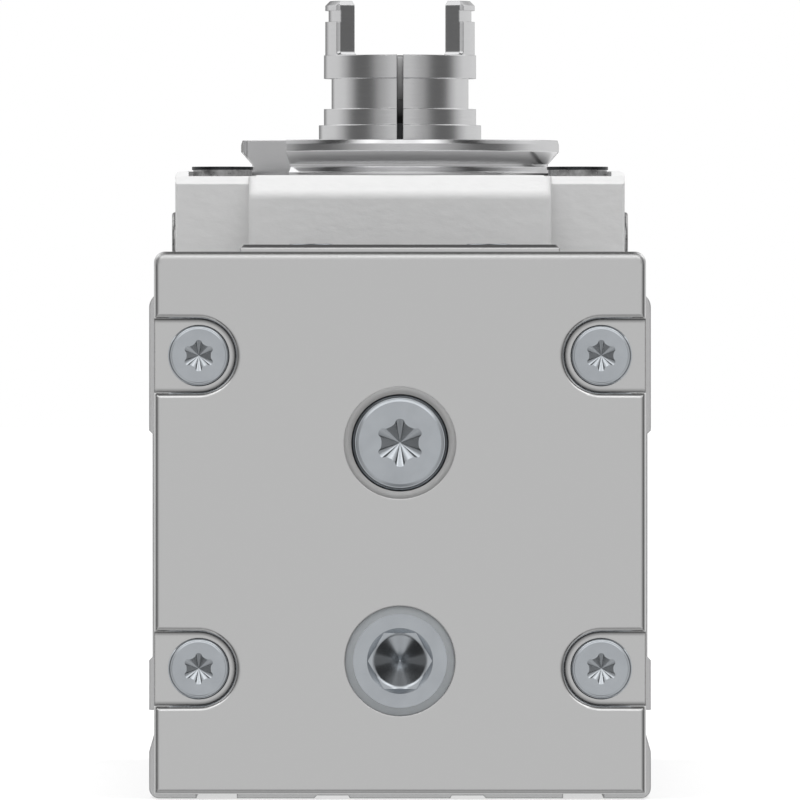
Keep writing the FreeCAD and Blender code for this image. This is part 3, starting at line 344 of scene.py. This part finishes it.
finishes = {
    "end_plate": blastedPlate("blastedPlate", 0.68),
    "anodised_profile": anodisedProfile(),
    "cast_white": castAluminium(),
    "turned_aluminium": turnedAluminium("turnedAluminium", (0.12, 0.2)),
    "zinc_steel": zincSteel(),
    "dark_screw": blackenedSteel(),
    "ground_steel": groundSteel(),
    "strip_steel": stripSteel(),
    "machined_aluminium": machinedAluminium(),
    "belt_rubber": beltRubber(),
    "seal_rubber": sealRubber(),
    "black_plastic": blackPlastic(),
}
for part in frame["record"]["subparts"]:
    node = nodes[part["node"]]
    node.data.materials.clear()
    node.data.materials.append(finishes[part["material_slot"]])
clampPlate = blastedPlate("blastedClamp", 0.2)
for name in ("strip_clamp_front", "strip_clamp_rear"):
    nodes[name].data.materials[0] = clampPlate
nodes["clamp_flange"].data.materials[0] = turnedAluminium("turnedFlange", (0.17, 0.23))
print("materials on every node")


# helpers for shaping: pieces are modelled in millimetres round Z, then put in place

onLevel = 0.001             # mm, how near a corner or face is to a level that it lies on
atCentre = 0.05             # mm, how near a face's middle is to the axis
flatShare = 0.9             # share of a normal along Z, at least, on a level face
steepShare = 0.5            # and at most on an upright face
band = (0.9, 1.1)           # shares of a ring's radius between which its corners are looked for


def fromAxis(spot):
    return math.hypot(spot.x, spot.y)


def startRound(name, sides, radius):
    bpy.ops.object.select_all(action="DESELECT")
    bpy.ops.mesh.primitive_circle_add(vertices=sides, radius=radius, fill_type="NGON")
    piece = bpy.context.object
    piece.name = name
    bpy.ops.object.mode_set(mode="EDIT")
    return piece


def pick(piece, kind, test):
    bpy.ops.mesh.select_mode(type=kind)
    bpy.ops.mesh.select_all(action="DESELECT")
    shape = bmesh.from_edit_mesh(piece.data)
    for item in {"VERT": shape.verts, "EDGE": shape.edges, "FACE": shape.faces}[kind]:
        if kind == "VERT":
            wanted = test(item.co)
        elif kind == "EDGE":
            wanted = test((item.verts[0].co + item.verts[1].co) / 2)
        else:
            wanted = test(item.calc_center_median(), item.normal)
        item.select_set(wanted)
    shape.select_flush_mode()
    bmesh.update_edit_mesh(piece.data)


def topFace(piece, height):
    pick(piece, "FACE",
         lambda c, n: abs(c.z - height) < onLevel and abs(n.z) > flatShare and fromAxis(c) < atCentre)


def push(step, grow=1.0):
    bpy.ops.mesh.extrude_region_move(TRANSFORM_OT_translate={"value": (0, 0, step)})
    if grow != 1.0:
        bpy.ops.transform.resize(value=(grow, grow, 1), center_override=(0, 0, 0))


def shapeRing(piece, height, low, high, reachOf, dropOf=None):
    # moves the corners between two radii to a radius, and a depth, that depend on the angle from a lobe
    groups = {}
    shape = bmesh.from_edit_mesh(piece.data)
    for corner in shape.verts:
        reach = fromAxis(corner.co)
        if abs(corner.co.z - height) < onLevel and low < reach < high:
            angle = math.degrees(math.atan2(corner.co.y, corner.co.x))
            offset = round(abs((angle - 60) % 60 - 30), 2)
            groups.setdefault(offset, (reach, []))[1].append(corner.co.copy())
    for offset, (reach, spots) in groups.items():
        pick(piece, "VERT", lambda co: any((co - spot).length < onLevel for spot in spots))
        scale = reachOf(offset) / reach
        bpy.ops.transform.resize(value=(scale, scale, 1), center_override=(0, 0, height))
        if dropOf:
            bpy.ops.transform.translate(value=(0, 0, -dropOf(offset)))


def finishPiece(smooth):
    bpy.ops.mesh.select_all(action="SELECT")
    bpy.ops.mesh.normals_make_consistent(inside=False)
    bpy.ops.object.mode_set(mode="OBJECT")
    bpy.ops.object.shade_smooth_by_angle(angle=math.radians(smooth))


def setDown(master, name, spot, turn, node, body):
    # a copy of the master with its own mesh, in place and in metres
    bpy.ops.object.select_all(action="DESELECT")
    piece = master.copy()
    piece.data = master.data.copy()
    piece.name = name
    bpy.context.scene.collection.objects.link(piece)
    piece.location = Vector(spot) * mm
    piece.rotation_euler = turn
    piece.scale = (mm, mm, mm)
    piece.select_set(True)
    bpy.context.view_layer.objects.active = piece
    bpy.ops.object.transform_apply(location=True, rotation=True, scale=True)
    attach(piece, body)
    if node:
        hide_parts(node)


shankTip = {"high": 0.4, "share": 0.82}       # tapered end of a shank, and how wide it is left


def addShank(piece, head, shank, length):
    pick(piece, "FACE", lambda c, n: abs(c.z) < onLevel and abs(n.z) > flatShare)
    bpy.ops.mesh.inset(thickness=head - shank)
    push(shankTip["high"] - length)
    push(-shankTip["high"], shankTip["share"])


# form of a six-lobe screw: degrees from a lobe's middle where its blunt end, its flank and its half stop,
# shares of the lobe's radius along them, and the mesh and slope of the head
sixLobe = {"blunt": 9, "flank": 15, "half": 30, "round": 0.0004, "shoulder": 0.968, "slope": 0.023,
           "hollow": 0.77, "swell": 0.06, "point": 0.04, "clear": 1.2, "sides": 120, "edgeSteps": 9,
           "crownSlope": 18}


def lobeShare(offset):
    # outline of the recess: a blunt lobe, a short straight flank and a hollow between lobes
    if offset <= sixLobe["blunt"]:
        return 1 - sixLobe["round"] * offset ** 2
    if offset <= sixLobe["flank"]:
        return sixLobe["shoulder"] - sixLobe["slope"] * (offset - sixLobe["blunt"])
    along = (sixLobe["half"] - offset) / (sixLobe["half"] - sixLobe["flank"])
    return sixLobe["hollow"] + sixLobe["swell"] * along ** 2


def sixLobeScrew(name, size):
    # a head with a broken edge and a low crown, a fluted six-lobe recess that runs to a point, and a plain
    # shank; where the size gives a lip, the top of the head stands out over its side by that much
    head, height, edge, lobe = size["head"], size["height"], size["edge"], size["lobe"]
    side, crown = head - size.get("lip", 0), size.get("crown", 0)
    rise = crown * math.tan(math.radians(sixLobe["crownSlope"]))
    piece = startRound(name, sixLobe["sides"], side)
    if side < head:
        push(height - size["lipHigh"])
        push(0, head / side)
        push(size["lipHigh"])
    else:
        push(height - rise)
    pick(piece, "EDGE", lambda c: abs(c.z - height + rise) < onLevel and fromAxis(c) > head * band[0])
    bpy.ops.mesh.bevel(offset=edge, segments=sixLobe["edgeSteps"], affect="EDGES")
    if crown:
        topFace(piece, height - rise)
        bpy.ops.mesh.inset(thickness=crown)
        bpy.ops.transform.translate(value=(0, 0, rise))
    topFace(piece, height)
    bpy.ops.mesh.inset(thickness=head - edge - crown - lobe)
    shapeRing(piece, height, lobe * band[0], lobe * band[1], lambda offset: lobe * lobeShare(offset))
    topFace(piece, height)
    push(-size["depth"], sixLobe["point"])
    addShank(piece, side, size["shank"], size["length"])
    finishPiece(size["smooth"])
    return piece


def setScrews(name, size, turns, node, body, slotName, *looks):
    # one master, then a copy on every spot; a second look goes on the side of the head
    master = sixLobeScrew(name + "Form", size)
    for look in looks:
        master.data.materials.append(look)
    if len(looks) > 1:
        bpy.ops.object.mode_set(mode="EDIT")
        high = size["height"] - size["lipHigh"] + onLevel
        reach = size["lobe"] * sixLobe["clear"]
        pick(master, "FACE",
             lambda c, n: onLevel < c.z < high and abs(n.z) < steepShare and fromAxis(c) > reach)
        master.active_material_index = 1
        bpy.ops.object.material_slot_assign()
        bpy.ops.object.mode_set(mode="OBJECT")
    for number, spot in enumerate(size["spots"], 1):
        setDown(master, f"{name}_{number}", spot, turns[(number - 1) % len(turns)], node, body)
    bpy.data.objects.remove(master)


toFront, toBack = (math.pi / 2, 0, 0), (-math.pi / 2, 0, 0)
toRight, toLeft, upright = (0, math.pi / 2, 0), (0, -math.pi / 2, 0), (0, 0, 0)

# end cap screws in their open ears
capScrew = {"head": 2.75, "height": 2.0, "edge": 0.3, "crown": 0.07, "lobe": 1.4, "depth": 0.49,
            "shank": 1.28, "length": 11.6, "smooth": 12,
            "spots": [(x, -124.6, z) for x in (18, -18) for z in (11.7, 39.7)]}
setScrews("endCapScrew", capScrew, [toFront], "end_cap_screws", "base", "zinc_steel",
          finishes["zinc_steel"])

# tension screw
tensionScrew = {"head": 4.3, "height": 4.0, "edge": 0.36, "crown": 0.24, "lobe": 2.15, "depth": 0.75,
                "shank": 2.5, "length": 11.4, "smooth": 12, "spots": [(0, -122.4, 31.9)]}
setScrews("tensionScrew", tensionScrew, [toFront], "tension_screw", "tension_screw", "zinc_steel",
          finishes["zinc_steel"])

# plug of the air port: countersunk hex socket that ends in a drill cone, and a chamfered rim round it
plug = {"sides": 96, "core": 4.2, "height": 5.95, "countersink": 2.95, "half": 2.5, "socket": 0.9,
        "step": 0.02, "cone": 2.47,
        "turns": [(2.38, 17), (2.29, 24), (2.2, 31), (0.06, 31)],       # radius reached, slope to it
        "under": 1.0, "mouth": 0.8,     # the socket's floor lies above the one and deeper than the other
        "thread": 4.9, "chamfer": 0.72, "drop": 0.12, "rimDeep": 0.8, "rimTaper": 0.97, "smooth": 8,
        "rimSmooth": 20, "spot": (0, -121, 12.4)}


def hexReach(half, offset):
    return half / math.cos(math.radians(offset))


master = startRound("plugForm", plug["sides"], plug["core"])
push(plug["height"])
bpy.ops.mesh.inset(thickness=plug["core"] - plug["countersink"])
bpy.ops.mesh.inset(thickness=plug["countersink"] - plug["half"])
shapeRing(master, plug["height"], plug["half"] * band[0], plug["half"] * band[1],
          lambda offset: hexReach(plug["half"], offset),
          lambda offset: plug["countersink"] - hexReach(plug["half"], offset))
pick(master, "FACE",
     lambda c, n: abs(n.z) > flatShare and fromAxis(c) < atCentre and c.z > plug["under"])
push(-plug["socket"])
floorAt = plug["height"] - plug["socket"]
pick(master, "FACE",
     lambda c, n: fromAxis(c) < atCentre and plug["under"] < c.z < plug["height"] - plug["mouth"])
bpy.ops.transform.resize(value=(1, 1, 0), center_override=(0, 0, floorAt))
bpy.ops.mesh.inset(thickness=plug["half"] - plug["cone"], depth=-plug["step"])
shapeRing(master, floorAt - plug["step"], plug["half"] * band[0], plug["countersink"],
          lambda offset: plug["cone"])
topFace(master, floorAt - plug["step"])
reached = plug["cone"]
for reach, slope in plug["turns"]:
    push((reach - reached) * math.tan(math.radians(slope)), reach / reached)
    reached = reach
finishPiece(plug["smooth"])
master.data.materials.append(finishes["zinc_steel"])
setDown(master, "airPortPlug", plug["spot"], toFront, "air_port_plug", "base")
bpy.data.objects.remove(master)
master = startRound("plugRimForm", plug["sides"], plug["thread"])
push(plug["height"] - plug["step"] - plug["drop"])
push(plug["drop"], 1 - plug["chamfer"] / plug["thread"])
push(-plug["height"] * plug["rimDeep"], plug["rimTaper"])
finishPiece(plug["rimSmooth"])
master.data.materials.append(dullZinc())
setDown(master, "airPortPlugRim", plug["spot"], toFront, "air_port_plug", "base")
bpy.data.objects.remove(master)

# bare countersink at the mouth of the tension screw's bore, a thin lining over the cap's own chamfer
mouth = {"sides": 96, "bore": 4.36, "outer": 5.0, "deep": 0.12, "lift": 0.03, "smooth": 40,
         "face": -127.015, "height": 31.9}
master = startRound("mouthForm", mouth["sides"], mouth["bore"])
bpy.ops.mesh.delete(type="ONLY_FACE")
bpy.ops.mesh.select_all(action="SELECT")
bpy.ops.mesh.extrude_edges_move(TRANSFORM_OT_translate={"value": (0, 0, mouth["deep"])})
grow = mouth["outer"] / mouth["bore"]
bpy.ops.transform.resize(value=(grow, grow, 1), center_override=(0, 0, 0))
finishPiece(mouth["smooth"])
bpy.ops.object.modifier_add(type="SOLIDIFY")
master.modifiers[0].thickness = mouth["lift"]
master.modifiers[0].offset = -1
bpy.ops.object.modifier_apply(modifier=master.modifiers[0].name)
master.data.materials.append(bareChamfer())
setDown(master, "boreMouth", (0, mouth["face"] + mouth["deep"], mouth["height"]), toFront, None, "base")
bpy.data.objects.remove(master)
print("front screws and plug modelled")

# screws of the drive housing, deep in their counterbores at the back
housingScrew = {"head": 2.75, "height": 2.0, "edge": 0.3, "lobe": 1.4, "depth": 0.49, "shank": 1.28,
                "length": 23.0, "smooth": 12,
                "spots": [(x, 98, z) for x in (18, -18) for z in (11.7, 39.7)]}
setScrews("housingScrew", housingScrew, [toBack], "drive_housing_screws", "base", "zinc_steel",
          finishes["zinc_steel"])

# adapter screws: a dark top that stands out over a speckled side
adapterScrew = {"head": 3.0, "height": 0.95, "edge": 0.06, "lobe": 1.4, "depth": 0.49, "shank": 1.48,
                "length": 13.9, "smooth": 12, "lip": 0.12, "lipHigh": 0.32,
                "spots": [(x, y, 57.65) for x in (17.4, -17.4) for y in (91, 122)]}
setScrews("adapterScrew", adapterScrew, [upright], "adapter_screws", "base", "dark_screw",
          finishes["dark_screw"], speckledSteel())

# plugs in both sides of the casting
sidePlug = {"head": 2.84, "height": 1.46, "edge": 0.25, "lobe": 1.4, "depth": 0.49, "shank": 1.48,
            "length": 5.5, "smooth": 12, "spots": [(x, driveAxis, 51.4) for x in (21, -21)]}
setScrews("sidePlug", sidePlug, [toRight, toLeft], "side_plugs", "base", "dark_screw", speckledSteel())

# screws of both strip clamps and of the clamp flange
clampScrew = {"head": 2.05, "height": 1.1, "edge": 0.22, "lobe": 0.9, "depth": 0.35, "shank": 1.0,
              "length": 5.2, "smooth": 12,
              "spots": [(x, y, 48.68) for x in (8, -8) for y in (-112.6, 76.6)]}
setScrews("clampScrew", clampScrew, [upright], "strip_clamp_screws", "base", "zinc_steel",
          finishes["zinc_steel"])
flangeScrew = {"head": 2.0, "height": 1.5, "edge": 0.2, "lobe": 1.0, "depth": 0.4, "shank": 1.23,
               "length": 7.5, "smooth": 12, "circle": 11.5, "seat": 59.7, "at": (45, 135, 285)}
flangeScrew["spots"] = [(flangeScrew["circle"] * math.cos(math.radians(turn)),
                         driveAxis + flangeScrew["circle"] * math.sin(math.radians(turn)),
                         flangeScrew["seat"])
                        for turn in flangeScrew["at"]]
setScrews("flangeScrew", flangeScrew, [upright], "flange_screws", "base", "zinc_steel",
          finishes["zinc_steel"])
print("screws of the head and the strip clamps modelled")

# screw that holds the hub on the shaft: a cap head with a hex socket, upright in the hub's bore
hubScrew = {"sides": 96, "head": 3.5, "height": 4.3, "edge": 0.25, "edgeSteps": 4, "half": 1.5,
            "socket": 2.0, "cone": 0.7, "point": 0.04, "shank": 2.0, "length": 10.0, "smooth": 20,
            "spot": (0, driveAxis, 65.4)}
master = startRound("hubScrewForm", hubScrew["sides"], hubScrew["head"])
push(hubScrew["height"])
pick(master, "EDGE",
     lambda c: abs(c.z - hubScrew["height"]) < onLevel and fromAxis(c) > hubScrew["head"] * band[0])
bpy.ops.mesh.bevel(offset=hubScrew["edge"], segments=hubScrew["edgeSteps"], affect="EDGES")
topFace(master, hubScrew["height"])
bpy.ops.mesh.inset(thickness=hubScrew["head"] - hubScrew["edge"] - hubScrew["half"])
shapeRing(master, hubScrew["height"], hubScrew["half"] * band[0], hubScrew["half"] * band[1],
          lambda offset: hexReach(hubScrew["half"], offset))
topFace(master, hubScrew["height"])
push(-hubScrew["socket"])
push(-hubScrew["cone"], hubScrew["point"])
addShank(master, hubScrew["head"], hubScrew["shank"], hubScrew["length"])
finishPiece(hubScrew["smooth"])
master.data.materials.append(shadedHubScrew())
setDown(master, "hubScrew", hubScrew["spot"], upright, "hub_screw", "drive_rotor")
bpy.data.objects.remove(master)
print("hub screw modelled")

# the belt: a welded and smoothed copy of the CAD belt takes its place; follows and rests are two places
# on Y, in millimetres
belt = {"follows": -86.0, "rests": -42.0, "weld": 0.001, "smooth": 20}
bpy.ops.object.select_all(action="DESELECT")
loop = nodes["toothed_belt"].copy()
loop.data = nodes["toothed_belt"].data.copy()
loop.name = "driveBelt"
loop.parent = None
bpy.context.scene.collection.objects.link(loop)
loop.select_set(True)
bpy.context.view_layer.objects.active = loop
bpy.ops.object.mode_set(mode="EDIT")
bpy.ops.mesh.select_all(action="SELECT")
bpy.ops.mesh.remove_doubles(threshold=belt["weld"] * mm)
finishPiece(belt["smooth"])
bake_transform(loop)
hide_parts("toothed_belt")
print("belt modelled")


# stage: floor, soft lamps, a tent that only reflections see, and the camera

def areaLamp(name, spot, aim, size, glow):
    data = bpy.data.lights.new(name, "AREA")
    data.shape = "RECTANGLE"
    data.size, data.size_y = size
    data.energy = glow * math.pi * size[0] * size[1]        # glow is the lamp's own brightness, 1 is white
    lamp = bpy.data.objects.new(name, data)
    bpy.context.scene.collection.objects.link(lamp)
    lamp.location = spot
    lamp.rotation_euler = (aim - lamp.location).to_track_quat("-Z", "Y").to_euler()
    lamp.visible_camera = lamp.visible_glossy = False       # polished faces mirror the tent instead


def dress(name, shader):
    # names the active object and gives it its own look
    made = bpy.context.object
    made.name = name
    material = bpy.data.materials.new(name)
    material.use_nodes = True
    material.node_tree.nodes.clear()
    shader(material.node_tree)
    made.data.materials.append(material)


# sizes and places in metres, and a brightness of 1 is white
stage = {"floor": 60.0, "floorColour": "#d0d0d0", "floorFaint": 0.4, "near": 0.25, "far": 0.8,
         "whiteNear": 0.62, "whiteFar": 0.95, "world": 0.44, "white": 1.0, "middle": Vector((0, 0, 0.035))}

# the tent that polished faces mirror: its plain brightness and the patches added to it, each with its turn
# from the front, its rise, the angles where it fades out and where it is full, and the brightness it adds
tent = {"radius": 4.0, "segments": 48, "rings": 24, "plain": 0.66, "least": 0.03,
        "patches": [(-63, 0, 29, 0, -0.22), (-60, 0, 52, 4, -0.29),     # dark on the left
                    (67, 0, 29, 0, -0.22), (64, 0, 52, 4, -0.29),       # dark on the right
                    (-130, 0, 45, 10, 0.07), (130, 0, 45, 10, 0.1),     # paler further round
                    (-168, 0, 24, 0, -0.42), (180, 45, 42, 10, -0.36),  # dark at the back
                    (0, 26, 11, 5, 0.6), (0, 36, 14, 6, 0.35),          # bright over the front
                    (0, -43, 20, 4, -0.36), (0, -90, 34, 8, -0.3),      # dark ground
                    (0, 90, 46, 24, -0.54)],                            # dark roof
        "twins": [(45, 49, 14, 7, -0.6), (55, 33, 14, 7, -0.6), (60, 20, 12, 5, -0.5),      # on both sides
                  (51, -42, 16, 8, -0.6), (58, -28, 15, 7, -0.6), (27, -44, 12, 4, -0.42),
                  (25, 30, 15, 6, 0.6), (25, 42, 10, 4, 0.8), (122, 52, 36, 16, 0.8)]}


def seenRays(tree):
    # 1 where the camera, a mirror or glass sees the surface, 0 where it only gives light
    light = addNode(tree, "ShaderNodeLightPath")
    sight = addNode(tree, "ShaderNodeMath", {"operation": "MAXIMUM"},
                    {0: light.outputs["Is Camera Ray"], 1: light.outputs["Is Glossy Ray"]})
    through = addNode(tree, "ShaderNodeMath", {"operation": "MAXIMUM"},
                      {0: sight.outputs[0], 1: light.outputs["Is Transmission Ray"]})
    return through.outputs[0]


def floorLook(tree):
    # pale floor: the camera and mirrors see it as a white sweep that still keeps the shadow
    matte = addNode(tree, "ShaderNodeBsdfDiffuse", {"Color": linear(stage["floorColour"])})
    faint = addNode(tree, "ShaderNodeBsdfDiffuse", {"Color": (stage["floorFaint"],) * 3 + (1,)})
    place = addNode(tree, "ShaderNodeTexCoord").outputs["Object"]
    spread = addNode(tree, "ShaderNodeVectorMath",
                     {"operation": "MULTIPLY", 1: (stage["floor"], stage["floor"], 0)}, {0: place})
    away = addNode(tree, "ShaderNodeVectorMath", {"operation": "LENGTH"}, {0: spread.outputs[0]})
    glow = addNode(tree, "ShaderNodeMapRange", {"From Min": stage["near"], "From Max": stage["far"],
                                                "To Min": stage["whiteNear"], "To Max": stage["whiteFar"]},
                   {"Value": away.outputs["Value"]})
    white = addNode(tree, "ShaderNodeEmission", links={"Strength": glow.outputs[0]})
    sweep = addNode(tree, "ShaderNodeAddShader", links={0: faint.outputs[0], 1: white.outputs[0]})
    mix = addNode(tree, "ShaderNodeMixShader",
                  links={0: seenRays(tree), 1: matte.outputs[0], 2: sweep.outputs[0]})
    addNode(tree, "ShaderNodeOutputMaterial", links={"Surface": mix.outputs[0]})


def tentLook(tree):
    # pale cloth with soft patches, each found by its angle from the middle of the part
    place = addNode(tree, "ShaderNodeTexCoord").outputs["Object"]
    way = addNode(tree, "ShaderNodeVectorMath", {"operation": "NORMALIZE"}, {0: place}).outputs[0]
    mirrored = [(-turn, *rest) for turn, *rest in tent["twins"]]
    total = None
    for turn, rise, fade, full, added in tent["patches"] + tent["twins"] + mirrored:
        turn, rise = math.radians(turn), math.radians(rise)
        middle = (math.sin(turn) * math.cos(rise), -math.cos(turn) * math.cos(rise), math.sin(rise))
        near = addNode(tree, "ShaderNodeVectorMath", {"operation": "DOT_PRODUCT", 1: middle}, {0: way})
        patch = addNode(tree, "ShaderNodeMapRange",
                        {"interpolation_type": "SMOOTHSTEP", "From Min": math.cos(math.radians(fade)),
                         "From Max": math.cos(math.radians(full)), "To Min": 0.0, "To Max": added},
                        {"Value": near.outputs["Value"]})
        links = {0: patch.outputs[0]} if total is None else {0: patch.outputs[0], 1: total.outputs[0]}
        total = addNode(tree, "ShaderNodeMath", {"operation": "ADD", 1: tent["plain"]}, links)
    kept = addNode(tree, "ShaderNodeMath", {"operation": "MAXIMUM", 1: tent["least"]},
                   {0: total.outputs[0]})
    cloth = addNode(tree, "ShaderNodeEmission", links={"Strength": kept.outputs[0]})
    addNode(tree, "ShaderNodeOutputMaterial", links={"Surface": cloth.outputs[0]})


bpy.ops.object.select_all(action="DESELECT")
bpy.ops.mesh.primitive_plane_add(size=1)
floor = bpy.context.object
floor.scale = (stage["floor"], stage["floor"], 1)
floor.visible_glossy = False        # the tent goes on below
dress("floor", floorLook)
bpy.ops.object.select_all(action="DESELECT")
bpy.ops.mesh.primitive_uv_sphere_add(segments=tent["segments"], ring_count=tent["rings"],
                                     radius=tent["radius"], location=stage["middle"])
shell = bpy.context.object
shell.visible_camera = shell.visible_diffuse = shell.visible_shadow = False
dress("tent", tentLook)

lamps = {"softTop": {"spot": (0, -0.3, 1.5), "size": (1.6, 1.6), "glow": 3.5},
         "softFront": {"spot": (0, -2.6, 1.2), "size": (1.6, 1.0), "glow": 0.3}}
for name, lamp in lamps.items():
    areaLamp(name, lamp["spot"], stage["middle"], lamp["size"], lamp["glow"])

world = bpy.data.worlds.new("studio")
bpy.context.scene.world = world
world.use_nodes = True
sky = world.node_tree
sky.nodes.clear()
bright = addNode(sky, "ShaderNodeMapRange", {"To Min": stage["world"], "To Max": stage["white"]},
                 {"Value": seenRays(sky)})
back = addNode(sky, "ShaderNodeBackground", {"Color": (1, 1, 1, 1)}, {"Strength": bright.outputs[0]})
addNode(sky, "ShaderNodeOutputWorld", links={"Surface": back.outputs[0]})

lens = {"front": -127.0, "reach": 2250.0, "height": 35.73, "spanAtFront": 71.52, "sensor": 36.0}   # mm
shot = bpy.data.cameras.new("camera")
shot.sensor_width = lens["sensor"]
shot.lens = lens["sensor"] * lens["reach"] / lens["spanAtFront"]
camera = bpy.data.objects.new("camera", shot)
bpy.context.scene.collection.objects.link(camera)
camera.location = (0, (lens["front"] - lens["reach"]) * mm, lens["height"] * mm)
camera.rotation_euler = (math.pi / 2, 0, 0)
bpy.context.scene.camera = camera
bpy.context.scene.view_settings.view_transform = "Standard"
print("stage, lamps and camera set")
